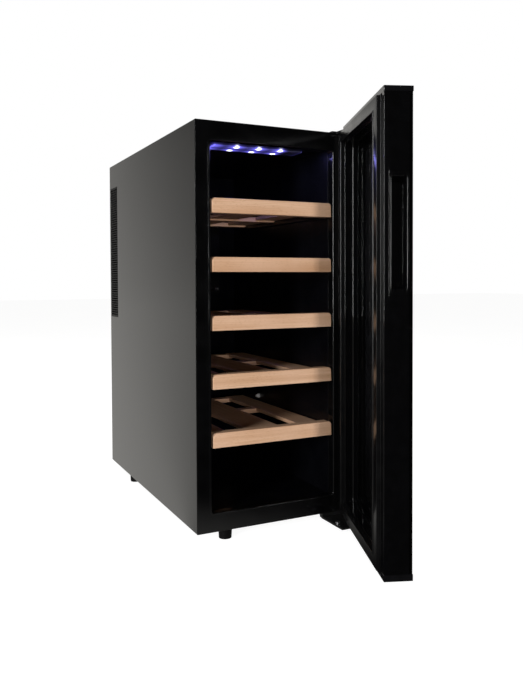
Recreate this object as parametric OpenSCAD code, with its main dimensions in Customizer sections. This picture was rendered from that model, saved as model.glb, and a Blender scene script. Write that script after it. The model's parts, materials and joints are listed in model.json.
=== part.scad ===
// Free-standing thermoelectric wine cooler with a glass door that stands open on its right-hand hinge.
// The origin is the middle of the cabinet's footprint, on the floor. X is to the right, Y to the back, Z up.
// Door parts are drawn closed and then swung about the hinge line.

/* [Cabinet] */
// Width of the cabinet
case_w = 268; // [262:1:280]
// Depth of the cabinet without its door
case_d = 510; // [505:1:530]
// Height of the cabinet without its feet
case_h = 631; // [628:1:640]
// Height of the feet
foot_h = 16; // [14:1:20]
// Thickness of the sheet-metal skin
sheet_t = 1.2; // [1:0.1:1.5]

/* [Front frame and liner] */
// Width of the front frame beside the opening
side_bar = 24.4; // [23:0.1:27]
// Height of the front frame below the opening
bottom_bar = 29; // [27:0.5:31]
// Height of the front frame above the opening
top_bar = 29; // [27:0.5:31]
// Corner radius of the opening
opening_r = 5; // [3:0.5:8]
// Depth of the front frame
frame_t = 16; // [14:1:17]
// Thickness of the plastic liner
liner_t = 1.6; // [1.2:0.1:2]
// Distance from the front face to the liner's rear wall
liner_depth = 405; // [400:1:408]

/* [Door] */
// How far the door stands open
door_open = 69.2; // [0:0.1:119]
// Thickness of the door over its caps' inner faces
door_t = 38.2; // [37:0.1:40]
// Gap between the closed door and the cabinet
door_gap = 8.2; // [8:0.1:9]
// How far the door rises above the cabinet
door_over = 4.3; // [4:0.1:5]
// How far the door reaches below the cabinet
door_under = 2.8; // [2.6:0.1:3]
// Height of the gasket above the door's inner face
gasket_h = 7.2; // [6:0.1:7.2]
// Depth of the inner pane below the door's inner face
pane_in = 20.6; // [16:0.1:24]

/* [Shelves] */
// Height of the top shelf's upper edge above the cabinet's underside
top_shelf = 514.5; // [505:0.5:518]
// Distance from one shelf to the next
shelf_pitch = 90.5; // [88:0.5:92]
// Width of a shelf
shelf_w = 212; // [208:1:214]
// Height of a shelf's wooden front
fascia_h = 23; // [20:0.5:26]
// Thickness of a shelf's wooden front
fascia_t = 18; // [15:0.5:20]

/* [Cooling] */
// Height of the cooling unit's middle above the cabinet's underside
unit_z = 447; // [440:1:450]
// Width of the hot heat sink
hot_sink_w = 120; // [110:5:130]
// Number of fins on the hot heat sink
hot_fins = 15; // [11:1:19]
// Number of slots in a side vent
vent_slots = 56; // [40:1:57]

/* [Hidden] */
shelf_count = 5;
$fn = 48;

// Colours
BLACK = "#161618";
DARK_GREY = "#2c2c2f";
STEEL = "silver";
BEECH = "burlywood";

// Cabinet planes
half_w = case_w / 2;
front_y = -case_d / 2;
back_y = case_d / 2;
base_z = foot_h;
top_z = base_z + case_h;
shell_x = half_w - sheet_t;
cover_t = 2;

// Opening and liner
open_x = half_w - side_bar;
open_z0 = base_z + bottom_bar;
open_z1 = top_z - top_bar;
rim_w = 3;
rim_h = 0.6;
liner_y0 = front_y + frame_t;
liner_y1 = front_y + liner_depth;
liner_z0 = open_z0 - 2;
liner_z1 = open_z1 + 4;
foam_y1 = liner_y1 + 36;
panel_y1 = foam_y1 + sheet_t;

// Side vents
vent_y0 = back_y - 60;
vent_y1 = back_y - 5;
vent_z0 = base_z + 312;
vent_z1 = base_z + 583;
vent_edge = 3;
vent_slot_h = 2.4;

// Door planes, closed
door_yi = front_y - door_gap;
door_yo = door_yi - door_t;
door_z0 = base_z - door_under;
door_z1 = top_z + door_over;
glass_t = 4;
bottom_cap_h = 9;
top_cap_h = 7;
cap_lip = 0.8;
frame_z0 = door_z0 + bottom_cap_h;
frame_z1 = door_z1 - top_cap_h;
frame_yo = door_yo + glass_t;
window_x0 = -half_w + 36;
window_x1 = half_w - 32;
window_z0 = door_z0 + 31;
window_z1 = door_z1 - 31;
window_step = 1.5;
window_step_in = 13;
pane_x0 = window_x0 + window_step;
pane_x1 = window_x1 - window_step;
pane_z0 = window_z0 + window_step;
pane_z1 = window_z1 - window_step;
pane_y = door_yi - pane_in;

// Hinge line
pivot = [half_w - 7, door_yi - 11.3];
pin_r = 3;
running_gap = 0.05;
bush_r = 5;
flange_r = 6.5;
flange_h = 2.3;
notch_in = 12;
notch_out = 16;
plate_t = 3.5;
top_plate_t = 2.5;
low_plate_z1 = base_z - 5.5;
low_plate_z0 = low_plate_z1 - plate_t;
low_plate_x0 = half_w - 45.5;
low_plate_y0 = front_y - 60;
arm_x0 = pivot[0] - 10;

// Gasket
gasket_x0 = -half_w + 13.8;
gasket_x1 = half_w - 10;
gasket_z0 = door_z0 + 9.2;
gasket_z1 = door_z1 - 9.2;
gasket_side = 20;
gasket_end = 18;
groove_in = 6;
groove_h = 4.7;
magnet_gap = 0.1;
magnet_h = 4.2;

// Handle pocket
grip_z0 = base_z + 367;
grip_z1 = base_z + 528;
grip_y0 = door_yo + 4.2;
grip_y1 = door_yo + 31.8;
grip_depth = 20;
grip_slope = 5;
grip_wall = 1.2;
grip_lip_t = 2;
grip_lip_side = 3.5;
grip_lip_end = 8;

// Shelf pieces
slat_drop = 7.5;
slat_t = 6;
batten_t = 8;
batten_z = -16.5;
batten_w = 20;
shelf_y0 = front_y + 0.5;
slat_y1 = liner_y1 - 50;
mid_batten_y = front_y + 205;
centre_slat = 30;
side_slat = 66;
ledge_w = 8;
ledge_h = 6;
fascia_r = 5;

// Cooling unit
unit = [0, base_z + unit_z];
cover_x = 62;
cover_half_h = 85;
cover_y0 = liner_y1 - 32;
cold_sink_w = 90;
cold_block_w = 40;
cold_sink_y = liner_y1 - 11;
cold_block_y = cold_sink_y + 19;
peltier_y = foam_y1 - 3;
cold_fan_size = 80;
cold_fan_depth = 15;
cold_fan_y = cover_y0 + 4;
hot_fan_size = 92;
hot_fan_depth = 20;
hot_sink_h = 160;
hot_fin_h = 28;
hot_base_t = 7;
hot_fan_y = panel_y1 + hot_base_t + hot_fin_h + 1;
shaft_r = 1.5;
blade_count = 7;

// Lamp
lamp_x = 80;
lamp_y0 = front_y + 52;
lamp_y1 = front_y + 88;
led_pitch = 40;

// Screws
screw_r = 2;
head_r = 4;
head_h = 2.3;

// Power inlet
inlet = [-92, base_z + 60];
inlet_w = 28;
inlet_h = 20;
inlet_depth = 20;

// ---- Shared shapes ----

// A box from its lowest to its highest corner
module span(lo, hi) {
    translate(lo) cube(hi - lo);
}

// A rectangle with round corners, drawn without offset so that its corners stay true arcs
module rounded_rect(x0, x1, z0, z1, r) {
    translate([x0 + r, z0]) square([x1 - x0 - 2 * r, z1 - z0]);
    translate([x0, z0 + r]) square([x1 - x0, z1 - z0 - 2 * r]);
    for (x = [x0 + r, x1 - r], z = [z0 + r, z1 - r])
        translate([x, z]) circle(r);
}

// Extrudes an XZ outline from y0 to y1
module along_y(y0, y1) {
    translate([0, y1, 0]) rotate([90, 0, 0]) linear_extrude(y1 - y0) children();
}

// A rectangular ring in the XZ plane, with side bars and end bars of their own widths
module ring(x0, x1, z0, z1, side, end, y0, y1) {
    along_y(y0, y1) difference() {
        translate([x0, z0]) square([x1 - x0, z1 - z0]);
        translate([x0 + side, z0 + end]) square([x1 - x0 - 2 * side, z1 - z0 - 2 * end]);
    }
}

// A cylinder along Y
module rod_y(x, z, y0, y1, r) {
    translate([x, y1, z]) rotate([90, 0, 0]) cylinder(h = y1 - y0, r = r);
}

// A cylinder along Z
module rod_z(x, y, z0, z1, r) {
    translate([x, y, z0]) cylinder(h = z1 - z0, r = r);
}

// Swings the closed door's parts open
module swing() {
    translate([pivot[0], pivot[1], 0]) rotate([0, 0, door_open]) translate([-pivot[0], -pivot[1], 0])
        children();
}

// ---- Cabinet skin ----

// Window in one side of the shell for its vent grille
module vent_window(side) {
    x0 = side > 0 ? shell_x - 1 : -half_w - 1;
    span([x0, vent_y0, vent_z0], [x0 + sheet_t + 2, vent_y1, vent_z1]);
}

module outer_shell() {
    color(DARK_GREY) difference() {
        along_y(front_y, back_y) difference() {
            rounded_rect(-half_w, half_w, base_z, top_z, 2);
            translate([-shell_x, base_z - 1]) square([2 * shell_x, case_h - sheet_t + 1]);
        }
        for (side = [-1, 1]) vent_window(side);
    }
}

module vent_grille(side) {
    depth = 3;
    outer_x = side * (half_w - 0.2);
    x0 = side > 0 ? outer_x - depth : outer_x;
    pitch = (vent_z1 - vent_z0 - 2 * vent_edge) / vent_slots;
    color(BLACK) difference() {
        span([x0, vent_y0, vent_z0], [x0 + depth, vent_y1, vent_z1]);
        for (i = [0 : vent_slots - 1])
            translate([x0 - 1, vent_y0 + vent_edge, vent_z0 + vent_edge + (i + 0.5) * pitch - vent_slot_h / 2])
                cube([depth + 2, vent_y1 - vent_y0 - 2 * vent_edge, vent_slot_h]);
    }
}

module base_panel() {
    color(DARK_GREY) span([-shell_x, front_y, base_z], [shell_x, back_y - cover_t, base_z + sheet_t]);
}

module front_frame() {
    color(BLACK) union() {
        along_y(front_y, liner_y0) difference() {
            translate([-shell_x, base_z + sheet_t]) square([2 * shell_x, case_h - 2 * sheet_t]);
            rounded_rect(-open_x, open_x, open_z0, open_z1, opening_r);
        }
        along_y(front_y - rim_h, front_y) difference() {
            rounded_rect(-open_x - rim_w, open_x + rim_w, open_z0 - rim_w, open_z1 + rim_w, opening_r + rim_w);
            rounded_rect(-open_x, open_x, open_z0, open_z1, opening_r);
        }
    }
}

// ---- Liner and insulation ----

module shelf_ledges() {
    for (i = [1 : shelf_count], side = [-1, 1]) {
        z1 = shelf_z(i) + batten_z;
        x0 = side > 0 ? open_x - ledge_w : -open_x;
        span([x0, shelf_y0 + fascia_t, z1 - ledge_h], [x0 + ledge_w, slat_y1 + 5, z1]);
    }
}

module inner_liner() {
    color(BLACK) union() {
        difference() {
            span([-open_x - liner_t, liner_y0, liner_z0 - liner_t],
                 [open_x + liner_t, liner_y1 + liner_t, liner_z1 + liner_t]);
            span([-open_x, liner_y0 - 1, liner_z0], [open_x, liner_y1, liner_z1]);
            unit_square(cold_sink_w + 4, liner_y1 - 1, liner_y1 + liner_t + 1);
            span([-lamp_x + 6, lamp_y0 + 6, liner_z1 - 1], [lamp_x - 6, lamp_y1 - 6, liner_z1 + liner_t + 1]);
        }
        shelf_ledges();
    }
}

// A square hole or block on the cooling unit's axis
module unit_square(size, y0, y1) {
    span([unit[0] - size / 2, y0, unit[1] - size / 2], [unit[0] + size / 2, y1, unit[1] + size / 2]);
}

module insulation_foam() {
    color("khaki") difference() {
        span([-shell_x, liner_y0, base_z + sheet_t], [shell_x, foam_y1, top_z - sheet_t]);
        span([-open_x - liner_t, liner_y0 - 1, liner_z0 - liner_t],
             [open_x + liner_t, liner_y1 + liner_t, liner_z1 + liner_t]);
        unit_square(cold_sink_w + 4, liner_y1, cold_block_y);
        unit_square(cold_block_w + 2, liner_y1, foam_y1 + 1);
        span([-lamp_x, lamp_y0, liner_z1], [lamp_x, lamp_y1, liner_z1 + liner_t + 6]);
    }
}

module back_panel() {
    color(STEEL) difference() {
        span([-shell_x, foam_y1, base_z + sheet_t], [shell_x, panel_y1, top_z - sheet_t]);
        unit_square(cold_block_w + 2, foam_y1 - 1, panel_y1 + 1);
    }
}

// ---- Rear cover and power ----

// Places a child at each screw of the rear cover
module at_cover_screws() {
    for (x = [-shell_x + 10, shell_x - 10], z = [base_z + 12, base_z + case_h / 2, top_z - 14])
        translate([x, 0, z]) children();
}

module rear_cover() {
    slot_w = 150;
    slot_h = 4;
    slot_pitch = 9;
    slots = 16;
    color(DARK_GREY) difference() {
        span([-shell_x, back_y - cover_t, base_z], [shell_x, back_y, top_z - sheet_t]);
        for (i = [0 : slots - 1])
            translate([-slot_w / 2, back_y - cover_t - 1, unit[1] + (i - slots / 2) * slot_pitch])
                cube([slot_w, cover_t + 2, slot_h]);
        at_cover_screws() rod_y(0, 0, back_y - cover_t - 1, back_y + 1, screw_r);
        span([inlet[0] - inlet_w / 2, back_y - cover_t - 1, inlet[1] - inlet_h / 2],
             [inlet[0] + inlet_w / 2, back_y + 1, inlet[1] + inlet_h / 2]);
    }
}

module rear_cover_screws() {
    sunk = 1.2;
    color(STEEL) at_cover_screws() {
        rod_y(0, 0, back_y - 9, back_y, screw_r);
        rod_y(0, 0, back_y, back_y + sunk, head_r);
    }
}

module power_inlet() {
    wall = 2;
    pin_l = 8;
    floor_y = back_y - inlet_depth + wall;
    color(BLACK) union() {
        difference() {
            span([inlet[0] - inlet_w / 2, back_y - inlet_depth, inlet[1] - inlet_h / 2],
                 [inlet[0] + inlet_w / 2, back_y, inlet[1] + inlet_h / 2]);
            span([inlet[0] - inlet_w / 2 + wall, floor_y, inlet[1] - inlet_h / 2 + wall],
                 [inlet[0] + inlet_w / 2 - wall, back_y + 1, inlet[1] + inlet_h / 2 - wall]);
        }
        for (p = [[-7, -2], [0, 2], [7, -2]])
            translate([inlet[0] + p[0] - 1, floor_y - 0.5, inlet[1] + p[1] - 2]) cube([2, pin_l + 0.5, 4]);
    }
}

module power_board() {
    board = [100, 1.6, 76];
    post_h = 8;
    at = [10, panel_y1 + post_h, base_z + 90];
    color("darkgreen") translate(at) union() {
        cube(board);
        for (x = [6, board[0] - 6], z = [6, board[2] - 6]) rod_y(x, z, -post_h, 0, 3);
        span([10, board[1], 12], [46, board[1] + 26, 48]);
        for (x = [60, 74, 88]) rod_y(x, 56, board[1], board[1] + 18, 5);
        span([56, board[1], 14], [88, board[1] + 12, 34]);
    }
}

// ---- Lamp ----

module led_lens() {
    color("ghostwhite") union() {
        span([-lamp_x, lamp_y0, liner_z1 - 2], [lamp_x, lamp_y1, liner_z1]);
        span([-lamp_x + 6, lamp_y0 + 6, liner_z1], [lamp_x - 6, lamp_y1 - 6, liner_z1 + 1]);
    }
}

module led_board() {
    y = (lamp_y0 + lamp_y1) / 2;
    z0 = liner_z1 + liner_t + 1;
    color("white") union() {
        span([-lamp_x + 8, y - 7, z0], [lamp_x - 8, y + 7, z0 + 1.6]);
        for (i = [-1 : 1]) rod_z(i * led_pitch, y, z0 - 1.4, z0, 2.5);
    }
}

// ---- Cooling unit ----

// Places a child at each screw of the fan cover
module at_fan_cover_screws() {
    for (x = [-cover_x + 7, cover_x - 7], z = [-cover_half_h + 7, cover_half_h - 7])
        translate([unit[0] + x, 0, unit[1] + z]) children();
}

module fan_cover() {
    wall = 2;
    slot_w = 76;
    slot_h = 3.2;
    slots = 13;
    color(BLACK) difference() {
        span([unit[0] - cover_x, cover_y0, unit[1] - cover_half_h],
             [unit[0] + cover_x, liner_y1, unit[1] + cover_half_h]);
        span([unit[0] - cover_x + wall, cover_y0 + wall, unit[1] - cover_half_h + wall],
             [unit[0] + cover_x - wall, liner_y1 + 1, unit[1] + cover_half_h - wall]);
        for (i = [0 : slots - 1])
            translate([unit[0] - slot_w / 2, cover_y0 - 1, unit[1] + (i - slots / 2) * 2 * slot_h])
                cube([slot_w, wall + 2, slot_h]);
        for (side = [-1, 1])
            span([unit[0] - slot_w / 2, cover_y0 + 8, unit[1] + side * cover_half_h - wall - 1],
                 [unit[0] + slot_w / 2, liner_y1 - 6, unit[1] + side * cover_half_h + wall + 1]);
        at_fan_cover_screws() rod_y(0, 0, cover_y0 - 1, cover_y0 + wall + 1, screw_r);
    }
}

module fan_cover_screws() {
    color(STEEL) at_fan_cover_screws() {
        rod_y(0, 0, cover_y0, liner_y1, screw_r);
        rod_y(0, 0, cover_y0 - 1.2, cover_y0, head_r);
    }
}

// Square fan housing on the unit's axis, with a hub plate held by four struts at its back
module fan_housing(size, depth, y) {
    duct_r = size / 2 - 2.5;
    hub_r = size * 0.2;
    strut_t = 3;
    translate([unit[0], y, unit[1]]) difference() {
        union() {
            difference() {
                span([-size / 2, 0, -size / 2], [size / 2, depth, size / 2]);
                rod_y(0, 0, -1, depth + 1, duct_r);
            }
            rod_y(0, 0, depth - strut_t, depth, hub_r);
            for (a = [45 : 90 : 315])
                rotate([0, a, 0]) span([hub_r - 1, depth - strut_t, -2], [duct_r + 1, depth, 2]);
        }
        rod_y(0, 0, -1, depth + 1, shaft_r + running_gap);
    }
}

// Fan wheel with pitched blades and a shaft that runs in the housing's hub
module fan_wheel(size, depth, y) {
    tip_r = size / 2 - 4;
    hub_r = size * 0.19;
    blade_t = 1.2;
    blade_w = depth - 8;
    translate([unit[0], y, unit[1]]) union() {
        rod_y(0, 0, 1, depth - 3.5, hub_r);
        rod_y(0, 0, 1, depth, shaft_r);
        for (i = [0 : blade_count - 1])
            rotate([0, i * 360 / blade_count, 0])
                translate([hub_r - 2, (depth - 2.5) / 2, 0]) rotate([38, 0, 0])
                    span([0, -blade_w / 2, -blade_t / 2], [tip_r - hub_r + 2, blade_w / 2, blade_t / 2]);
    }
}

module cold_sink() {
    fins = 13;
    base_t = 5;
    fin_h = 14;
    fin_t = 1.6;
    pitch = (cold_sink_w - fin_t) / (fins - 1);
    color(STEEL) union() {
        unit_square(cold_sink_w, cold_sink_y + fin_h, cold_sink_y + fin_h + base_t);
        for (i = [0 : fins - 1])
            translate([unit[0] - cold_sink_w / 2 + i * pitch, cold_sink_y, unit[1] - cold_sink_w / 2])
                cube([fin_t, fin_h, cold_sink_w]);
    }
}

module cold_block() {
    color(STEEL) unit_square(cold_block_w, cold_block_y, peltier_y);
}

module peltier_module() {
    color("white") unit_square(cold_block_w, peltier_y, panel_y1);
}

module hot_sink() {
    fin_t = 1.8;
    pitch = (hot_sink_w - fin_t) / (hot_fins - 1);
    x0 = unit[0] - hot_sink_w / 2;
    z0 = unit[1] - hot_sink_h / 2;
    color(STEEL) union() {
        span([x0, panel_y1, z0], [x0 + hot_sink_w, panel_y1 + hot_base_t, z0 + hot_sink_h]);
        for (i = [0 : hot_fins - 1])
            translate([x0 + i * pitch, panel_y1 + hot_base_t, z0]) cube([fin_t, hot_fin_h, hot_sink_h]);
    }
}

module temperature_sensor() {
    at = [open_x, front_y + 283, base_z + 154];
    color(STEEL) translate(at) rotate([0, -90, 0]) union() {
        cylinder(h = 3, r = 4.5);
        cylinder(h = 7, r = 3);
    }
}

// ---- Hinges and feet ----

module upper_hinge_bracket() {
    z1 = top_z + top_plate_t;
    color(DARK_GREY) difference() {
        union() {
            span([half_w - 26, front_y, top_z], [half_w, front_y + 50, z1]);
            span([arm_x0, pivot[1], top_z], [half_w, front_y, z1]);
            intersection() {
                rod_z(pivot[0], pivot[1], top_z, z1, 10);
                span([arm_x0 - 1, pivot[1] - 11, top_z], [half_w, pivot[1], z1]);
            }
        }
        rod_z(pivot[0], pivot[1], top_z - 1, z1 + 1, pin_r);
        for (y = [14, 38]) rod_z(half_w - 13, front_y + y, top_z - 1, z1 + 1, screw_r);
    }
}

module upper_hinge_pin() {
    z1 = top_z + top_plate_t;
    color(STEEL) union() {
        rod_z(pivot[0], pivot[1], frame_z1 - 12, z1, pin_r);
        rod_z(pivot[0], pivot[1], z1, z1 + 1.5, 5);
    }
}

// Stepped plate: a flange under the cabinet, a short web and a lower plate under the door
module lower_hinge_bracket() {
    color(DARK_GREY) difference() {
        union() {
            span([low_plate_x0, front_y + 1, base_z - plate_t], [half_w, front_y + 60, base_z]);
            span([low_plate_x0, front_y + 1, low_plate_z0], [half_w, front_y + 1 + plate_t, base_z]);
            span([low_plate_x0, low_plate_y0, low_plate_z0], [half_w, front_y + 2, low_plate_z1]);
        }
        rod_z(pivot[0], pivot[1], low_plate_z0 - 1, low_plate_z1 + 1, pin_r);
        rod_z(half_w - 38.5, front_y - 36, low_plate_z0 - 1, low_plate_z1 + 1, screw_r);
        for (x = [38, 8]) rod_z(half_w - x, front_y + 50, base_z - plate_t - 1, base_z + 1, screw_r);
    }
}

module lower_hinge_pin() {
    color(STEEL) union() {
        rod_z(pivot[0], pivot[1], low_plate_z0, frame_z0 + 5, pin_r);
        rod_z(pivot[0], pivot[1], low_plate_z0 - 1.5, low_plate_z0, 5);
    }
}

// A pan-head screw whose head stands on z, pointing down, or up when flipped
module screw(x, y, z, length, flip = 1) {
    translate([x, y, z]) mirror([0, 0, flip > 0 ? 0 : 1]) union() {
        translate([0, 0, -length]) cylinder(h = length, r = screw_r);
        cylinder(h = head_h, r = head_r);
    }
}

module hinge_screws() {
    color(STEEL) {
        for (y = [14, 38]) screw(half_w - 13, front_y + y, top_z + top_plate_t, top_plate_t);
        for (x = [38, 8]) screw(half_w - x, front_y + 50, base_z - plate_t, plate_t, -1);
        screw(half_w - 38.5, front_y - 36, low_plate_z1, plate_t);
    }
}

// A rubber foot that tapers a little towards the floor
module foot(x, y, z1) {
    color(BLACK) translate([x, y, 0]) cylinder(h = z1, r1 = 10, r2 = 11);
}

module rear_feet() {
    for (side = [-1, 1]) foot(side * (half_w - 16), front_y + 386, base_z);
}

// ---- Shelves ----

// Height of a shelf's upper edge, counted from the top
function shelf_z(i) = base_z + top_shelf - (i - 1) * shelf_pitch;

// Front board with its two upper corners rounded
module shelf_fascia(i) {
    x = shelf_w / 2;
    color(BEECH) translate([0, 0, shelf_z(i)]) along_y(shelf_y0, shelf_y0 + fascia_t) union() {
        translate([-x, -fascia_h]) square([shelf_w, fascia_h - fascia_r]);
        translate([-x + fascia_r, -fascia_r]) square([shelf_w - 2 * fascia_r, fascia_r]);
        for (side = [-1, 1]) translate([side * (x - fascia_r), -fascia_r]) circle(fascia_r);
    }
}

// The three boards that run from front to back, with a gap under each bottle
module slat_boards() {
    x = shelf_w / 2;
    y0 = shelf_y0 + fascia_t;
    for (s = [[-x, -side_slat], [-centre_slat, centre_slat], [side_slat, x]])
        span([s[0], y0, -slat_drop - slat_t], [s[1], slat_y1, -slat_drop]);
}

module shelf_slats(i) {
    color(BEECH) translate([0, 0, shelf_z(i)]) slat_boards();
}

// Cross battens, notched for the boards
module shelf_battens(i) {
    x = shelf_w / 2;
    color(BEECH) translate([0, 0, shelf_z(i)]) difference() {
        for (y = [shelf_y0 + fascia_t, mid_batten_y, slat_y1 - batten_w])
            span([-x, y, batten_z], [x, y + batten_w, batten_z + batten_t]);
        slat_boards();
    }
}

// ---- Door ----

// The handle's hollow, grown by a wall: its ends slope together from the door's free edge to its floor
module grip_hollow(wall) {
    x0 = -half_w - (wall > 0 ? 0 : 1);
    x1 = -half_w + grip_depth + wall;
    z0 = grip_z0 + grip_lip_end - wall;
    z1 = grip_z1 - grip_lip_end + wall;
    along_y(grip_y0 + grip_lip_side - wall, grip_y1 - grip_lip_side + wall)
        polygon([[x0, z0], [x0, z1], [x1, z1 - grip_slope], [x1, z0 + grip_slope]]);
}

// The handle as one solid block: its walls and the flange round its mouth
module grip_block() {
    grip_hollow(grip_wall);
    span([-half_w, grip_y0, grip_z0], [-half_w + grip_lip_t, grip_y1, grip_z1]);
}

module handle_insert() {
    color(BLACK) swing() difference() {
        grip_block();
        grip_hollow(0);
    }
}

// The window narrows by a small step part of the way down to its pane
module door_frame() {
    color(BLACK) swing() difference() {
        span([-half_w, frame_yo, frame_z0], [half_w, door_yi, frame_z1]);
        span([pane_x0, frame_yo - 1, pane_z0], [pane_x1, door_yi + 1, pane_z1]);
        span([window_x0, door_yi - window_step_in, window_z0], [window_x1, door_yi + 1, window_z1]);
        grip_block();
        rod_z(pivot[0], pivot[1], frame_z0 - 1, frame_z0 + 7, bush_r);
        rod_z(pivot[0], pivot[1], frame_z1 - 14, frame_z1 + 1, bush_r);
        display_block(-1);
    }
}

module door_glass() {
    color("#101014", 0.6) swing()
        span([-half_w + 0.6, door_yo, frame_z0], [half_w - 0.6, frame_yo, frame_z1]);
}

module inner_glass() {
    gap = 0.2;
    color("#202226", 0.5) swing()
        span([pane_x0 + gap, pane_y - glass_t, pane_z0 + gap], [pane_x1 - gap, pane_y, pane_z1 - gap]);
}

module glass_spacer() {
    bar = 9;
    color(BLACK) swing() ring(pane_x0, pane_x1, pane_z0, pane_z1, bar, bar, frame_yo, pane_y - glass_t);
}

module door_gasket() {
    color(BLACK) swing() difference() {
        ring(gasket_x0, gasket_x1, gasket_z0, gasket_z1, gasket_side, gasket_end, door_yi, door_yi + gasket_h);
        ring(gasket_x0 + groove_in, gasket_x1 - groove_in, gasket_z0 + groove_in, gasket_z1 - groove_in,
             gasket_side - 2 * groove_in, gasket_end - 2 * groove_in, door_yi - 1, door_yi + groove_h);
    }
}

module gasket_magnet() {
    inset = groove_in + magnet_gap;
    color(DARK_GREY) swing() ring(gasket_x0 + inset, gasket_x1 - inset, gasket_z0 + inset, gasket_z1 - inset,
        gasket_side - 2 * inset, gasket_end - 2 * inset,
        door_yi + groove_h - magnet_h - magnet_gap, door_yi + groove_h - magnet_gap);
}

// The top cap leaves the hinge corner free for the bracket's arm
module door_top_cap() {
    color(BLACK) swing() difference() {
        span([-half_w, door_yo - cap_lip, frame_z1], [half_w, door_yi, door_z1]);
        span([pivot[0] - notch_in, pivot[1] - notch_out, frame_z1 - 1], [half_w + 1, door_yi + 1, door_z1 + 1]);
    }
}

module door_bottom_cap() {
    color(BLACK) swing() difference() {
        span([-half_w, door_yo - cap_lip, door_z0], [half_w, door_yi, frame_z0]);
        rod_z(pivot[0], pivot[1], door_z0 - 1, frame_z0 + 1, bush_r);
    }
}

module hinge_bushes() {
    color("white") swing() {
        difference() {
            union() {
                rod_z(pivot[0], pivot[1], door_z0, frame_z0 + 7, bush_r);
                rod_z(pivot[0], pivot[1], door_z0 - flange_h, door_z0, flange_r);
            }
            rod_z(pivot[0], pivot[1], door_z0 - flange_h - 1, frame_z0 + 8, pin_r + running_gap);
        }
        difference() {
            union() {
                rod_z(pivot[0], pivot[1], frame_z1 - 14, frame_z1, bush_r);
                rod_z(pivot[0], pivot[1], frame_z1, frame_z1 + flange_h, flange_r);
            }
            rod_z(pivot[0], pivot[1], frame_z1 - 15, frame_z1 + flange_h + 1, pin_r + running_gap);
        }
    }
}

// Space for the touch display in the door's top rail, cut a little past the rail's face
module display_block(extra) {
    span([-32, frame_yo + extra, frame_z1 - 20], [32, frame_yo + 3, frame_z1 - 6]);
}

module control_display() {
    color("#1a2430") swing() display_block(0);
}

// ---- Nodes ----

outer_shell();
vent_grille(-1);  // left_vent_grille
vent_grille(1);  // right_vent_grille
base_panel();
front_frame();
inner_liner();
insulation_foam();
back_panel();
rear_cover();
rear_cover_screws();
power_inlet();
power_board();
led_lens();
led_board();
fan_cover();
fan_cover_screws();
color(BLACK) fan_housing(cold_fan_size, cold_fan_depth, cold_fan_y);  // cold_fan_frame
color(DARK_GREY) fan_wheel(cold_fan_size, cold_fan_depth, cold_fan_y);  // cold_fan_rotor
cold_sink();
cold_block();
peltier_module();
hot_sink();
color(BLACK) fan_housing(hot_fan_size, hot_fan_depth, hot_fan_y);  // hot_fan_frame
color(DARK_GREY) fan_wheel(hot_fan_size, hot_fan_depth, hot_fan_y);  // hot_fan_rotor
temperature_sensor();
upper_hinge_bracket();
upper_hinge_pin();
lower_hinge_bracket();
lower_hinge_pin();
hinge_screws();
foot(-half_w + 53, front_y + 15, base_z);  // front_left_foot
foot(half_w - 23, front_y + 27, base_z - plate_t);  // front_right_foot
rear_feet();
for (i = [1 : shelf_count]) {
    shelf_fascia(i);
    shelf_slats(i);
    shelf_battens(i);
}
door_frame();
door_glass();
inner_glass();
glass_spacer();
door_gasket();
gasket_magnet();
door_top_cap();
door_bottom_cap();
handle_insert();
hinge_bushes();
control_display();
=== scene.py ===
import json
import math

import bpy
from mathutils import Matrix, Vector


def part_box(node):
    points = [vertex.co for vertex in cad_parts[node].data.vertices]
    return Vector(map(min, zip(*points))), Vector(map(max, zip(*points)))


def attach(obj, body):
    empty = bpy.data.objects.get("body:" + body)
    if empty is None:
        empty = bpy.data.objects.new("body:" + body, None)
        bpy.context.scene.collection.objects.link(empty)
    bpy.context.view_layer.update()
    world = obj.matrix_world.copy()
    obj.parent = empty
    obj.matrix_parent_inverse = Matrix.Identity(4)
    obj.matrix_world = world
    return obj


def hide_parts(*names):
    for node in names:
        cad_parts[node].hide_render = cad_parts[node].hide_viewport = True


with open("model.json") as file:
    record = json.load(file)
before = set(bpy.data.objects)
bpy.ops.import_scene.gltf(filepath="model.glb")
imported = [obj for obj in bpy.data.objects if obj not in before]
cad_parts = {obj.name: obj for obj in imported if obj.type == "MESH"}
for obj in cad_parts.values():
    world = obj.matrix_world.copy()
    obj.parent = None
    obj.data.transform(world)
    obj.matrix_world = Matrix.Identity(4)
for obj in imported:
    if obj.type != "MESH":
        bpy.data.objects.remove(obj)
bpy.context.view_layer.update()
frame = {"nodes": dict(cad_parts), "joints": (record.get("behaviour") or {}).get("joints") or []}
NODES = frame["nodes"]
MM = 0.001


# ---- Where things are ----

def joint(name):
    """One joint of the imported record."""
    return next(j for j in frame["joints"] if j["name"] == name)


HINGE = joint("door_hinge")
PIVOT = Matrix.Translation(HINGE["pos_m"])
# Takes a point on the closed door to its place at rest, where the door stands open
SWING = PIVOT @ Matrix.Rotation(math.radians(-HINGE["range_deg"][0]), 4, "Z") @ PIVOT.inverted()


def closed_box(node):
    """(lowest, highest) corner of a door node with the door closed."""
    shut = SWING.inverted()
    points = [shut @ v.co for v in NODES[node].data.vertices]
    return (Vector(min(p[i] for p in points) for i in range(3)),
            Vector(max(p[i] for p in points) for i in range(3)))


# ---- Material tools ----

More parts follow.
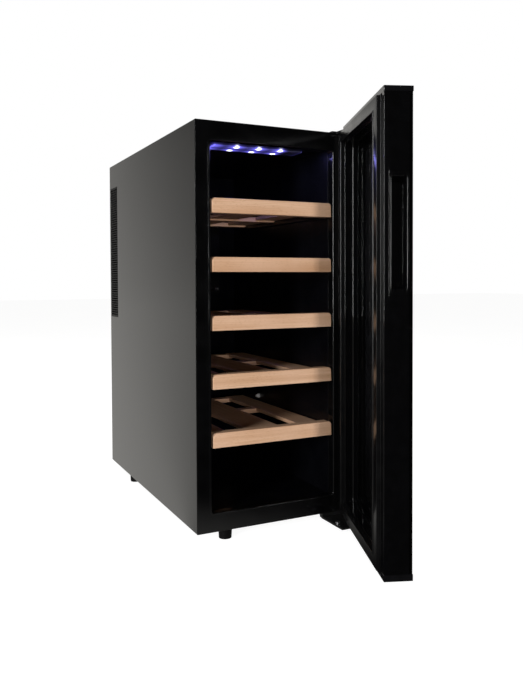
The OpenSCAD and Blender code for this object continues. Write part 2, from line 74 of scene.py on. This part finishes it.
class Graph:
    """A node tree with short calls for the nodes in it."""

    def __init__(self, tree, coordinates):
        self.tree = tree
        self.place = self.node("ShaderNodeTexCoord").outputs[coordinates]

    def node(self, kind, **settings):
        made = self.tree.nodes.new(kind)
        for key, value in settings.items():
            setattr(made, key, value)
        return made

    def feed(self, target, value):
        """Links a socket to a target, or sets the target's own value."""
        if isinstance(value, bpy.types.NodeSocket):
            self.tree.links.new(value, target)
        else:
            target.default_value = value

    def scaled(self, scale):
        """Coordinates times a scale for each axis, in features per metre."""
        made = self.node("ShaderNodeMapping")
        self.feed(made.inputs["Vector"], self.place)
        made.inputs["Scale"].default_value = scale
        return made.outputs["Vector"]

    def noise(self, scale, detail=3, roughness=0.5, warp=0):
        made = self.node("ShaderNodeTexNoise")
        self.feed(made.inputs["Vector"], self.scaled(scale))
        made.inputs["Scale"].default_value = 1
        made.inputs["Detail"].default_value = detail
        made.inputs["Roughness"].default_value = roughness
        made.inputs["Distortion"].default_value = warp
        return made.outputs["Fac"]

    def cells(self, scale, feature="F1", output="Distance"):
        made = self.node("ShaderNodeTexVoronoi", feature=feature)
        self.feed(made.inputs["Vector"], self.scaled(scale))
        made.inputs["Scale"].default_value = 1
        return made.outputs[output]

    def calc(self, operation, a, b=0.0):
        made = self.node("ShaderNodeMath", operation=operation)
        self.feed(made.inputs[0], a)
        self.feed(made.inputs[1], b)
        return made.outputs[0]

    def remap(self, value, low, high, to_low, to_high):
        """Smooth step from one value to another while the input goes from low to high."""
        made = self.node("ShaderNodeMapRange", interpolation_type="SMOOTHSTEP")
        for socket, number in zip(("Value", "From Min", "From Max", "To Min", "To Max"),
                                  (value, low, high, to_low, to_high)):
            self.feed(made.inputs[socket], number)
        return made.outputs["Result"]

    def ramp(self, value, *stops):
        """Colours at positions along a value, as (position, (r, g, b))."""
        made = self.node("ShaderNodeValToRGB")
        ramp = made.color_ramp
        while len(ramp.elements) < len(stops):
            ramp.elements.new(0.5)
        for element, (position, color) in zip(ramp.elements, stops):
            element.position = position
            element.color = (*color, 1)
        self.feed(made.inputs["Fac"], value)
        return made.outputs["Color"]

    def blend(self, share, a, b):
        """Mix of two numbers."""
        made = self.node("ShaderNodeMix")
        for socket, value in zip(("Factor", "A", "B"), (share, a, b)):
            self.feed(made.inputs[socket], value)
        return made.outputs["Result"]

    def mix(self, share, a, b):
        """Mix of two colours."""
        made = self.node("ShaderNodeMix", data_type="RGBA")
        self.feed(made.inputs["Factor"], share)
        self.feed(made.inputs["A"], a if isinstance(a, bpy.types.NodeSocket) else (*a, 1))
        self.feed(made.inputs["B"], b if isinstance(b, bpy.types.NodeSocket) else (*b, 1))
        return made.outputs["Result"]

    def axes(self):
        made = self.node("ShaderNodeSeparateXYZ")
        self.feed(made.inputs[0], self.place)
        return made.outputs

    def camera_ray(self):
        """1 where the camera looks straight at the surface, 0 in reflections and bounced light."""
        return self.node("ShaderNodeLightPath").outputs["Is Camera Ray"]


class Paint(Graph):
    """A Principled material and short calls for what feeds its shader."""

    def __init__(self, name, color, roughness, **sockets):
        self.material = bpy.data.materials.new(name)
        self.material.use_nodes = True
        super().__init__(self.material.node_tree, "Object")
        self.shader = self.tree.nodes["Principled BSDF"]
        self.shader.inputs["Base Color"].default_value = (*color, 1)
        self.shader.inputs["Roughness"].default_value = roughness
        for socket, value in sockets.items():
            self.shader.inputs[socket.replace("_", " ")].default_value = value

    def color(self, value):
        self.feed(self.shader.inputs["Base Color"], value)
        return self

    def rough(self, value, low, high):
        """Roughness that follows a texture between two values."""
        self.feed(self.shader.inputs["Roughness"], self.remap(value, 0.3, 0.7, low, high))
        return self

    def bump(self, height, depth_mm, strength):
        made = self.node("ShaderNodeBump")
        made.inputs["Distance"].default_value = depth_mm * MM
        made.inputs["Strength"].default_value = strength
        self.feed(made.inputs["Height"], height)
        self.feed(self.shader.inputs["Normal"], made.outputs["Normal"])
        return self


def even(count):
    """The same scale along every axis."""
    return (count, count, count)


def shade(color, factor):
    """A colour made darker or lighter."""
    return tuple(part * factor for part in color)


# ---- Materials ----

def satin_paint(name, color, roughness):
    """Powder coat: a fine orange peel over slow, faint changes in shade and sheen."""
    paint = Paint(name, color, roughness)
    cloud = paint.noise(even(9), detail=2)
    peel = paint.noise(even(1100), detail=2)
    paint.color(paint.ramp(cloud, (0.3, shade(color, 0.88)), (0.7, shade(color, 1.12))))
    paint.rough(peel, roughness - 0.02, roughness + 0.02)
    return paint.bump(peel, depth_mm=0.008, strength=0.25).material


def moulded(name, color, roughness, grain_mm=0.5, depth_mm=0.03, **sockets):
    """Moulded plastic with a fine spark-eroded grain."""
    paint = Paint(name, color, roughness, **sockets)
    spots = paint.noise(even(1 / (grain_mm * MM)))
    mottle = paint.noise(even(25))
    light = tuple(min(1, part * 1.35 + 0.001) for part in color)
    paint.color(paint.ramp(mottle, (0.35, color), (0.65, light)))
    paint.rough(spots, roughness - 0.05, roughness + 0.06)
    return paint.bump(spots, depth_mm, strength=0.5).material


def gloss(name, color, roughness=0.05):
    """High-gloss moulding with a clear coat and faint polishing haze."""
    paint = Paint(name, color, roughness, Coat_Weight=0.5, Coat_Roughness=0.03)
    haze = paint.noise(even(60), detail=4, roughness=0.6)
    waves = paint.noise(even(16), detail=1)
    paint.color(paint.ramp(haze, (0.4, color), (0.75, shade(color, 1.6))))
    paint.rough(haze, roughness - 0.01, roughness + 0.02)
    return paint.bump(waves, depth_mm=0.01, strength=0.05).material


BEECH_BANDS = ((0.28, (0.50, 0.28, 0.155)), (0.5, (0.64, 0.40, 0.25)), (0.72, (0.76, 0.52, 0.36)))
BEECH_FIBRE = (0.54, 0.31, 0.18)
BEECH_FLECK = (0.36, 0.18, 0.09)
BEECH_PATCH = (0.82, 0.56, 0.41)


def beech(name, along):
    """Oiled beech: straight soft grain and short dark flecks along one axis."""
    paint = Paint(name, BEECH_BANDS[1][1], 0.48, Specular_IOR_Level=0.2)

    def lengthwise(count, stretch):
        """Features per metre across the grain, and their share of that along it."""
        scale = [count] * 3
        scale[along] = count * stretch
        return tuple(scale)

    bands = paint.noise(lengthwise(70, 0.03), detail=3, roughness=0.55, warp=0.4)
    fibre = paint.noise(lengthwise(620, 0.02), detail=4, roughness=0.65)
    fleck = paint.remap(paint.cells(lengthwise(750, 0.16)), 0.12, 0.3, 1, 0)
    patch = paint.noise(even(11), detail=2)
    base = paint.ramp(bands, *BEECH_BANDS)
    base = paint.mix(paint.remap(fibre, 0.35, 0.7, 0, 0.7), base, BEECH_FIBRE)
    base = paint.mix(paint.calc("MULTIPLY", fleck, 0.5), base, BEECH_FLECK)
    base = paint.mix(paint.remap(patch, 0.3, 0.7, 0, 0.3), base, BEECH_PATCH)
    paint.color(base)
    paint.rough(fibre, 0.42, 0.56)
    return paint.bump(paint.calc("SUBTRACT", fibre, fleck), depth_mm=0.06, strength=0.5).material


def smoked_glass(name, tint):
    """Flat tinted glass with the very slight waviness of tempering."""
    paint = Paint(name, tint, 0.01, Transmission_Weight=1.0, IOR=1.52)
    film = paint.noise(even(30), detail=2)
    waves = paint.noise(even(6), detail=1)
    paint.rough(film, 0.01, 0.025)
    return paint.bump(waves, depth_mm=0.05, strength=0.05).material


def soft_rubber(name, color, roughness, bump=0.15, specular=0.3):
    """Extruded rubber with a fine bloom."""
    paint = Paint(name, color, roughness, Specular_IOR_Level=specular)
    bloom = paint.noise(even(45), detail=4, roughness=0.6)
    grain = paint.noise(even(1500), detail=2)
    paint.color(paint.ramp(bloom, (0.35, shade(color, 0.8)), (0.7, shade(color, 1.3))))
    paint.rough(bloom, roughness - 0.03, roughness + 0.04)
    return paint.bump(grain, depth_mm=0.01, strength=bump).material


def metal(name, color, roughness, brush=(40, 900, 40), metallic=1.0):
    """Bare or plated metal with drawing or rolling lines."""
    paint = Paint(name, color, roughness, Metallic=metallic)
    lines = paint.noise(brush, detail=4, roughness=0.6)
    paint.color(paint.ramp(lines, (0.3, shade(color, 0.85)), (0.7, color)))
    paint.rough(lines, roughness - 0.06, roughness + 0.1)
    return paint.bump(lines, depth_mm=0.02, strength=0.3).material


def galvanised(name):
    """Zinc-coated sheet with its crystal spangle."""
    paint = Paint(name, (0.55, 0.57, 0.59), 0.4, Metallic=1.0)
    spangle = paint.cells(even(120), output="Color")
    grey = paint.node("ShaderNodeRGBToBW")
    paint.feed(grey.inputs[0], spangle)
    paint.color(paint.ramp(grey.outputs[0], (0.1, (0.46, 0.48, 0.50)), (0.9, (0.66, 0.68, 0.70))))
    paint.rough(grey.outputs[0], 0.3, 0.5)
    grain = paint.noise(even(300), detail=2)
    return paint.bump(grain, depth_mm=0.02, strength=0.2).material


def foam(name):
    """Rigid foam: yellow, with closed cells."""
    paint = Paint(name, (0.76, 0.66, 0.40), 0.9)
    cells = paint.cells(even(700))
    paint.color(paint.ramp(cells, (0.1, (0.60, 0.50, 0.28)), (0.6, (0.80, 0.71, 0.46))))
    return paint.bump(cells, depth_mm=0.25, strength=0.8).material


def circuit_board(name):
    """Green solder mask with copper tracks under it."""
    paint = Paint(name, (0.02, 0.16, 0.06), 0.35)
    tracks = paint.remap(paint.cells(even(260), "DISTANCE_TO_EDGE"), 0.03, 0.08, 1, 0)
    paint.color(paint.mix(tracks, (0.012, 0.11, 0.04), (0.05, 0.26, 0.10)))
    return paint.bump(tracks, depth_mm=0.04, strength=0.4).material


def plain_fine(name, color, roughness):
    """Small inner parts: one colour with a light mottle and grain."""
    return moulded(name, color, roughness, grain_mm=0.8, depth_mm=0.02)


LAMP_BLUE = (0.17, 0.15, 0.95)
LAMP_WHITE = (0.85, 0.88, 1.0)
SPOT_GLOW, HAZE_GLOW, LENS_GLOW = 9, 1.1, 0.08
SPOT_INSET = 4 * MM    # from the lens's long edges to the rows of hot spots
SPOT_SIZE = (4.0 * MM, 4.2 * MM)    # half widths along X and Y
HAZE_SIZE = (13 * MM, 12 * MM)
HAZE_ENDS = (1.0, 1.45)    # where the haze fades out on the right, in spacings of the emitters
SPOT_ENDS = (1.3, 1.6)    # where the hot spots stop on either side, in the same spacings
TIP_ENDS = (2.0 * MM, 0.5 * MM)    # distances from the lens's ends over which its tips light up
TIP_GLOW = (0.8, 0.3)    # of the left and the right tip


def lamp_lens(name):
    """Frosted lens over three emitters: hot spots at its two long edges, each in a blue haze."""
    lo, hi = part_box("led_lens")    # its middle is at x = 0
    half = (hi.x - lo.x) / 2
    pitch = half / 2
    middle = (lo.y + hi.y) / 2
    row = (hi.y - lo.y) / 2 - SPOT_INSET
    paint = Paint(name, (0.05, 0.05, 0.09), 0.18, Coat_Weight=0.2)
    x, y, _ = paint.axes()

    def product(a, b):
        return paint.calc("MULTIPLY", a, b)

    def gap(a, b):
        """How far apart two numbers are."""
        return paint.calc("ABSOLUTE", paint.calc("SUBTRACT", a, b))

    def blob(dx, dy, size):
        """1 in the middle, falling off smoothly over the two half widths."""
        across = paint.calc("POWER", paint.calc("DIVIDE", dx, size[0]), 2)
        deep = paint.calc("POWER", paint.calc("DIVIDE", dy, size[1]), 2)
        return paint.calc("EXPONENT", product(paint.calc("ADD", across, deep), -1))

    shifted = paint.calc("FLOORED_MODULO", paint.calc("ADD", x, pitch / 2), pitch)
    dx = gap(shifted, pitch / 2)
    dy = gap(gap(y, middle), row)
    off_middle = paint.calc("ABSOLUTE", x)
    inside = paint.remap(off_middle, *(pitch * end for end in SPOT_ENDS), 1, 0)
    hot = product(blob(dx, dy, SPOT_SIZE), inside)
    fade = paint.remap(x, *(pitch * end for end in HAZE_ENDS), 1, 0.02)
    haze = paint.calc("ADD", product(blob(dx, dy, HAZE_SIZE), HAZE_GLOW), LENS_GLOW)
    tips = product(paint.remap(off_middle, *(half - end for end in TIP_ENDS), 0, 1),
                   paint.remap(x, -pitch, pitch, *TIP_GLOW))
    soft = paint.calc("ADD", product(haze, fade), tips)
    frost = paint.noise(even(500), detail=2)
    paint.feed(paint.shader.inputs["Emission Color"],
               paint.mix(paint.remap(hot, 0.05, 0.5, 0, 1), LAMP_BLUE, LAMP_WHITE))
    paint.feed(paint.shader.inputs["Emission Strength"],
               paint.calc("ADD", product(hot, SPOT_GLOW), soft))
    return paint.bump(frost, depth_mm=0.05, strength=0.4).material


def wear_materials():
    """Puts each CAD node's material on it."""
    shell = satin_paint("shell_paint", (0.004, 0.004, 0.0038), 0.2)
    hinge = satin_paint("hinge_paint", (0.006, 0.006, 0.006), 0.34)
    black = moulded("black_plastic", (0.0016, 0.0016, 0.0017), 0.55, Specular_IOR_Level=0.25)
    front = moulded("frame_plastic", (0.0012, 0.0012, 0.0014), 0.13, grain_mm=0.4, depth_mm=0.002)
    liner = moulded("liner_plastic", (0.0010, 0.0011, 0.0019), 0.28, grain_mm=0.6, depth_mm=0.01,
                    Specular_IOR_Level=0.3)
    shiny = gloss("gloss_black", (0.0012, 0.0012, 0.0014))
    caps = gloss("cap_plastic", (0.003, 0.003, 0.0035), 0.16)
    screws = metal("zinc_steel", (0.60, 0.60, 0.61), 0.3, even(500))
    fins = metal("aluminium", (0.72, 0.73, 0.74), 0.32, brush=(900, 40, 40))
    feet = soft_rubber("foot_rubber", (0.0020, 0.0020, 0.0021), 0.6, bump=0.4, specular=0.1)
    across = beech("beech_across", along=0)
    lengthways = beech("beech_lengthways", along=1)
    worn = {
        "outer_shell": shell, "base_panel": shell, "rear_cover": shell,
        "upper_hinge_bracket": hinge, "lower_hinge_bracket": hinge,
        "left_vent_grille": black, "right_vent_grille": black, "power_inlet": black, "fan_cover": black,
        "cold_fan_frame": black, "cold_fan_rotor": black, "hot_fan_frame": black, "hot_fan_rotor": black,
        "front_frame": front, "inner_liner": liner,
        "door_frame": shiny, "handle_insert": shiny, "door_top_cap": caps, "door_bottom_cap": caps,
        "rear_cover_screws": screws, "fan_cover_screws": screws, "hinge_screws": screws,
        "upper_hinge_pin": screws, "lower_hinge_pin": screws,
        "cold_sink": fins, "cold_block": fins, "hot_sink": fins,
        "front_left_foot": feet, "front_right_foot": feet, "rear_feet": feet,
        "back_panel": galvanised("galvanised_steel"),
        "insulation_foam": foam("foam"),
        "power_board": circuit_board("circuit_board"),
        "led_lens": lamp_lens("lamp_lens"),
        "led_board": plain_fine("led_white", (0.85, 0.86, 0.9), 0.4),
        "peltier_module": plain_fine("ceramic_white", (0.85, 0.85, 0.83), 0.5),
        "temperature_sensor": metal("chrome_cap", (0.80, 0.80, 0.81), 0.3, even(300), metallic=0.5),
        "door_glass": smoked_glass("door_glass", (0.03, 0.03, 0.034)),
        "inner_glass": smoked_glass("inner_glass", (0.40, 0.41, 0.43)),
        "glass_spacer": metal("spacer_black", (0.03, 0.03, 0.03), 0.35),
        "door_gasket": soft_rubber("gasket_rubber", (0.0035, 0.0035, 0.0037), 0.2, bump=0.04),
        "gasket_magnet": soft_rubber("magnet", (0.05, 0.045, 0.04), 0.6),
        "hinge_bushes": plain_fine("nylon", (0.80, 0.79, 0.74), 0.4),
        "control_display": gloss("display", (0.01, 0.015, 0.02)),
    }
    for name in NODES:
        if name.startswith("shelf_"):
            worn[name] = lengthways if name.endswith("slats") else across
    for name, material in worn.items():
        slots = NODES[name].data.materials
        slots.clear()
        slots.append(material)


# ---- Edges ----

WELD_GAP = 0.001 * MM
SHARP_ANGLE = 35    # degrees between faces, from which an edge counts as sharp


def soften(node, width_mm):
    """Rounds a CAD node's sharp edges a little, as moulding, bending or sanding leaves them."""
    piece = NODES[node]
    weld = piece.modifiers.new("weld", "WELD")
    weld.merge_threshold = WELD_GAP
    bevel = piece.modifiers.new("bevel", "BEVEL")
    bevel.width = width_mm * MM
    bevel.segments = 2
    bevel.limit_method = "ANGLE"
    bevel.angle_limit = math.radians(SHARP_ANGLE)
    bevel.use_clamp_overlap = False
    normals = piece.modifiers.new("normals", "WEIGHTED_NORMAL")
    normals.keep_sharp = False


# Width of the rounding of each node's edges, in millimetres
EDGE_WIDTHS = {
    "outer_shell": 0.18, "base_panel": 0.3, "front_frame": 0.12, "inner_liner": 0.4,
    "rear_cover": 0.4, "led_lens": 0.6, "fan_cover": 0.5, "door_frame": 0.45, "door_glass": 0.6,
    "inner_glass": 0.3, "door_top_cap": 0.8, "door_bottom_cap": 0.8, "handle_insert": 0.8,
    "upper_hinge_bracket": 0.4, "lower_hinge_bracket": 0.5, "power_inlet": 0.4,
    "left_vent_grille": 0.3, "right_vent_grille": 0.3,
}
FASCIA_EDGE, BOARD_EDGE = 0.8, 0.6


def soften_edges():
    """Rounds the edges that show."""
    for node, width in EDGE_WIDTHS.items():
        soften(node, width)
    for node in NODES:
        if node.startswith("shelf_"):
            soften(node, FASCIA_EDGE if node.endswith("fascia") else BOARD_EDGE)


# ---- Added pieces ----

def mesh_piece(name, verts, faces, material, body):
    """A new smooth piece that rides on a body and wears the material that it is given."""
    mesh = bpy.data.meshes.new(name)
    mesh.from_pydata([tuple(v) for v in verts], [], faces)
    mesh.update()
    for face in mesh.polygons:
        face.use_smooth = True
    mesh.materials.append(material)
    piece = bpy.data.objects.new(name, mesh)
    bpy.context.scene.collection.objects.link(piece)
    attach(piece, body)
    return piece


def loop_sweep(path, section):
    """Verts and faces of a closed section swept round a closed path.

    The path is a list of (place, outward, forward), the section a list of (outward, forward) steps.
    """
    verts = [place + outward * u + forward * v for place, outward, forward in path for u, v in section]
    rings, sides = len(path), len(section)
    faces = [(i * sides + j, i * sides + (j + 1) % sides,
              (i + 1) % rings * sides + (j + 1) % sides, (i + 1) % rings * sides + j)
             for i in range(rings) for j in range(sides)]
    return verts, faces


def rounded_path(low, high, across, start, forward, corner, steps):
    """An upright rectangle with round corners, as (place, outward, forward).

    low and high are two opposite corners as (along across, Z), counted from the point start.
    """
    up = Vector((0, 0, 1))
    (u0, w0), (u1, w1) = low, high
    path = []
    for u, w, turned in ((u1 - corner, w1 - corner, 0), (u0 + corner, w1 - corner, 90),
                         (u0 + corner, w0 + corner, 180), (u1 - corner, w0 + corner, 270)):
        for i in range(steps + 1):
            angle = math.radians(turned + 90 * i / steps)
            outward = across * math.cos(angle) + up * math.sin(angle)
            path.append((start + across * u + up * w + outward * corner, outward, forward))
    return path


def circle_section(radius, sides):
    """A round section, as (outward, forward) steps."""
    return [(radius * math.cos(math.tau * i / sides), radius * math.sin(math.tau * i / sides))
            for i in range(sides)]


def opening_bead(material):
    """Round bead along the inner edge of the cabinet's opening, a little proud of the front frame."""
    lo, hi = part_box("inner_liner")
    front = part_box("front_frame")[0].y
    # From the liner's outside to the edge of the opening at the sides, the bottom and the top
    wall, below, above = 1.6 * MM, 3.6 * MM, 5.6 * MM
    radius, proud, inward = 1.5 * MM, 0.15 * MM, 0.6 * MM
    start = Vector((0, front + radius - proud, 0))
    path = rounded_path((lo.x + wall, lo.z + below), (hi.x - wall, hi.z - above),
                        Vector((1, 0, 0)), start, Vector((0, -1, 0)), corner=5 * MM, steps=8)
    section = [(u + radius - inward, v) for u, v in circle_section(radius, 24)]
    verts, faces = loop_sweep(path, section)
    mesh_piece("opening_bead", verts, faces, material, "cabinet")


def arc(centre, radius, start, end, steps):
    """Points on an arc in a profile, by angles in degrees."""
    angles = [math.radians(start + (end - start) * i / steps) for i in range(steps + 1)]
    return [(centre[0] + radius * math.cos(a), centre[1] + radius * math.sin(a)) for a in angles]


def gasket_profile(width, height):
    """Closed section as (inward, up).

    From the outside in: a base lip, a steep outer wall, a flat crest and a round ridge at the inner edge.
    """
    lip, lip_h, lip_r, lip_end = 1.7 * MM, 1.3 * MM, 0.65 * MM, 0.1 * MM
    outer_r, wall_lean = 0.45 * MM, 0.3 * MM
    ridge_r, ridge_h = 1.5 * MM, 1.1 * MM
    crest = height - ridge_h
    # Where the ridge's arc rises out of the crest, in degrees
    foot = 180 - math.degrees(math.asin((ridge_r - ridge_h) / ridge_r))
    return ([(-lip, 0)]
            + arc((lip_r - lip, lip_h - lip_r), lip_r, 180, 90, steps=5)
            + [(-lip_end, lip_h)]
            + arc((outer_r + wall_lean, crest - outer_r), outer_r, 180, 90, steps=4)
            + arc((width - ridge_r, height - ridge_r), ridge_r, foot, 0, steps=12)
            + [(width, 0)])


def door_gasket(material):
    """Gasket with mitred corners, in place of the plain one."""
    lo, hi = closed_box("door_gasket")
    side_w, end_w = 20 * MM, 18 * MM    # its widths along the door's sides and ends
    crease = 32    # degrees between faces, from which an edge stays sharp
    profile = gasket_profile(side_w, hi.y - lo.y)
    verts = []
    for inward, up in profile:
        x0, x1 = lo.x + inward, hi.x - inward
        z_step = inward * end_w / side_w
        z0, z1 = lo.z + z_step, hi.z - z_step
        for x, z in ((x0, z0), (x1, z0), (x1, z1), (x0, z1)):
            verts.append(SWING @ Vector((x, lo.y + up, z)))
    faces = []
    for j in range(len(profile)):
        here, after = j * 4, (j + 1) % len(profile) * 4
        for c in range(4):
            beside = (c + 1) % 4
            faces.append((here + c, after + c, after + beside, here + beside))
    piece = mesh_piece("gasket_profile", verts, faces, material, "door")
    piece.data.set_sharp_from_angle(angle=math.radians(crease))
    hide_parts("door_gasket")


def grip_bead(material):
    """Fine raised line round the mouth of the grip."""
    lo, hi = closed_box("handle_insert")
    # From the insert's outside to its mouth, across and up
    wall, end = 3.5 * MM, 8 * MM
    radius, proud = 0.6 * MM, 0.25 * MM
    start = Vector((lo.x + radius - proud, 0, 0))
    path = rounded_path((lo.y + wall - radius, lo.z + end - radius),
                        (hi.y - wall + radius, hi.z - end + radius),
                        Vector((0, 1, 0)), start, Vector((-1, 0, 0)), corner=2 * MM, steps=6)
    verts, faces = loop_sweep(path, circle_section(radius, 12))
    mesh_piece("grip_bead", [SWING @ v for v in verts], faces, material, "door")


def add_pieces():
    """Each piece wears the material of the CAD node that it belongs to."""
    opening_bead(NODES["front_frame"].data.materials[0])
    door_gasket(NODES["door_gasket"].data.materials[0])
    grip_bead(NODES["handle_insert"].data.materials[0])


# ---- Stage ----

CAMERA_PLACE = (-0.5157, -1.2572, 0.4050)
CAMERA_YAW = -26.18
CAMERA_PITCH = -1.53
CAMERA_ROLL = -0.23
SENSOR_MM = 36
# Focal length and downward shift, as shares of the picture's long side
FOCAL_SHARE = 1.0114286
SHIFT_SHARE = 0.0735714

WHITE = (1, 1, 1)
ROOM_TINT = (1.0, 0.98, 0.935)    # colour of the room in reflections
FLOOR_REACH = 14
FLOOR_WHITE = 0.93
GLOOM = 0.008    # brightness of the dark part of the room in reflections

# The floor's light in reflections: y - FLOOR_LEAN * x is the distance leftwards and back
FLOOR_LEAN = 0.9
FLOOR_DARK_END, FLOOR_LIGHT_START = -0.48, -0.08
# Beside the cabinet it also grows with the ratio of the distances from these two lines
FRONT_LINE_Y, LEFT_LINE_X, LEAST_GAP = -0.25, -0.126, 0.02
RATIO_ENDS = (1.9, 4.2)
FLOOR_GLOW = (0.45, 0.74)

# The backdrop in reflections, by directions of unit length
BACKDROP_GLOW, BACKDROP_EDGE = 0.72, 0.24
BACKDROP_LEAN = -2    # how much faster it fades to the left than upwards
BACKDROP_ENDS = (0.36, 0.96)
UPPER_SHARE = 0.62
UPPER_ENDS = (0.16, 0.30)
DEPTH_ENDS = (-0.15, 0.5)    # from the dark room in front to the backdrop

KEY_LIGHT = {"place": (-0.443, -2.6, 0.33), "target": (0.0, -0.25, 0.33), "size": (0.14, 0.36),
             "power": 26, "color": (1.0, 0.97, 0.94)}
SIDE_LIGHT = {"place": (-2.5, -1.7, 0.75), "target": (0.0, -0.3, 0.33), "size": (0.5, 1.15),
              "power": 72}
OVERHEAD_LIGHT = {"place": (0.0, 0.5, 3.2), "target": (0.0, 0.2, 0.0), "size": (3.0, 3.0),
                  "power": 40}
LAMP_POWER = 0.15
LAMP_TINT = (0.30, 0.28, 1.0)
LAMP_SHARE = (0.8, 0.7)    # of the lens's length and width


def make_camera():
    """The camera as fitted to the edges of the cabinet, the shelves and the door."""
    data = bpy.data.cameras.new("camera")
    data.sensor_width = SENSOR_MM
    data.lens = SENSOR_MM * FOCAL_SHARE
    data.shift_y = -SHIFT_SHARE
    camera = bpy.data.objects.new("camera", data)
    bpy.context.scene.collection.objects.link(camera)
    yaw, pitch, roll = (math.radians(a) for a in (CAMERA_YAW, CAMERA_PITCH, CAMERA_ROLL))
    turn = (Matrix.Rotation(yaw, 4, "Z") @ Matrix.Rotation(math.pi / 2 + pitch, 4, "X")
            @ Matrix.Rotation(roll, 4, "Z"))
    camera.matrix_world = Matrix.Translation(CAMERA_PLACE) @ turn
    bpy.context.scene.camera = camera


def floor_paint():
    """Near-white where the camera sees it.

    In reflections it is dark in front and to the right, and bright to the left and behind.
    """
    paint = Paint("floor_white", (0.3, 0.3, 0.3), 0.7, Specular_IOR_Level=0.0)
    camera_ray = paint.camera_ray()
    clouds = paint.noise(even(2), detail=2)
    matt = paint.ramp(clouds, (0.3, (0.28, 0.28, 0.28)), (0.7, (0.32, 0.32, 0.32)))
    paint.color(paint.mix(camera_ray, (0, 0, 0), matt))
    x, y, _ = paint.axes()
    leftward = paint.calc("SUBTRACT", y, paint.calc("MULTIPLY", x, FLOOR_LEAN))
    behind = paint.calc("SUBTRACT", y, FRONT_LINE_Y)
    beside = paint.calc("MAXIMUM", paint.calc("SUBTRACT", LEFT_LINE_X, x), LEAST_GAP)
    glow = paint.remap(paint.calc("DIVIDE", behind, beside), *RATIO_ENDS, *FLOOR_GLOW)
    reflected = paint.remap(leftward, FLOOR_DARK_END, FLOOR_LIGHT_START, GLOOM, glow)
    paint.feed(paint.shader.inputs["Emission Color"], paint.mix(camera_ray, ROOM_TINT, WHITE))
    paint.feed(paint.shader.inputs["Emission Strength"],
               paint.blend(camera_ray, reflected, FLOOR_WHITE))
    paint.material.cycles.emission_sampling = "NONE"
    return paint.material


def make_floor():
    mesh = bpy.data.meshes.new("floor")
    corners = [(-1, -1), (1, -1), (1, 1), (-1, 1)]
    mesh.from_pydata([(x * FLOOR_REACH, y * FLOOR_REACH, 0) for x, y in corners], [], [(0, 1, 2, 3)])
    mesh.materials.append(floor_paint())
    floor = bpy.data.objects.new("floor", mesh)
    bpy.context.scene.collection.objects.link(floor)


def softbox(name, place, target, size, power, color=WHITE):
    """A rectangular light, its size in metres and its power in watts."""
    data = bpy.data.lights.new(name, "AREA")
    data.shape = "RECTANGLE"
    data.size, data.size_y = size
    data.energy = power
    data.color = color
    lamp = bpy.data.objects.new(name, data)
    bpy.context.scene.collection.objects.link(lamp)
    lamp.location = place
    lamp.rotation_euler = (Vector(target) - Vector(place)).to_track_quat("-Z", "Y").to_euler()
    return lamp


def make_world():
    """White where the camera looks past the object.

    In reflections a pale backdrop stands behind and the room in front is dark. The backdrop fades
    upwards and to the left.
    """
    world = bpy.data.worlds.new("studio")
    bpy.context.scene.world = world
    world.use_nodes = True
    sky = Graph(world.node_tree, "Generated")
    x, y, z = sky.axes()
    lean = sky.calc("ADD", sky.calc("MULTIPLY", x, BACKDROP_LEAN), z)
    backdrop = sky.calc("MULTIPLY", sky.remap(lean, *BACKDROP_ENDS, BACKDROP_GLOW, BACKDROP_EDGE),
                        sky.remap(z, *UPPER_ENDS, 1, UPPER_SHARE))
    reflected = sky.blend(sky.remap(y, *DEPTH_ENDS, 0, 1), GLOOM, backdrop)
    camera_ray = sky.camera_ray()
    background = sky.tree.nodes["Background"].inputs
    sky.feed(background["Strength"], sky.blend(camera_ray, reflected, 1.0))
    sky.feed(background["Color"], sky.mix(camera_ray, ROOM_TINT, WHITE))


def make_lamp_glow():
    """The light that the ceiling lamp throws on the walls below it."""
    lo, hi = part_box("led_lens")
    middle = (lo + hi) / 2
    size = ((hi.x - lo.x) * LAMP_SHARE[0], (hi.y - lo.y) * LAMP_SHARE[1])
    glow = softbox("lamp_glow", (middle.x, middle.y, lo.z - MM), (middle.x, middle.y, 0),
                   size, LAMP_POWER, LAMP_TINT)
    glow.visible_camera = False


def make_stage():
    make_camera()
    make_floor()
    make_world()
    key = softbox("key", **KEY_LIGHT)
    key.visible_glossy = False
    softbox("side", **SIDE_LIGHT)
    make_lamp_glow()
    softbox("overhead", **OVERHEAD_LIGHT)
    bpy.context.scene.view_settings.view_transform = "Standard"


make_stage()
wear_materials()
soften_edges()
add_pieces()
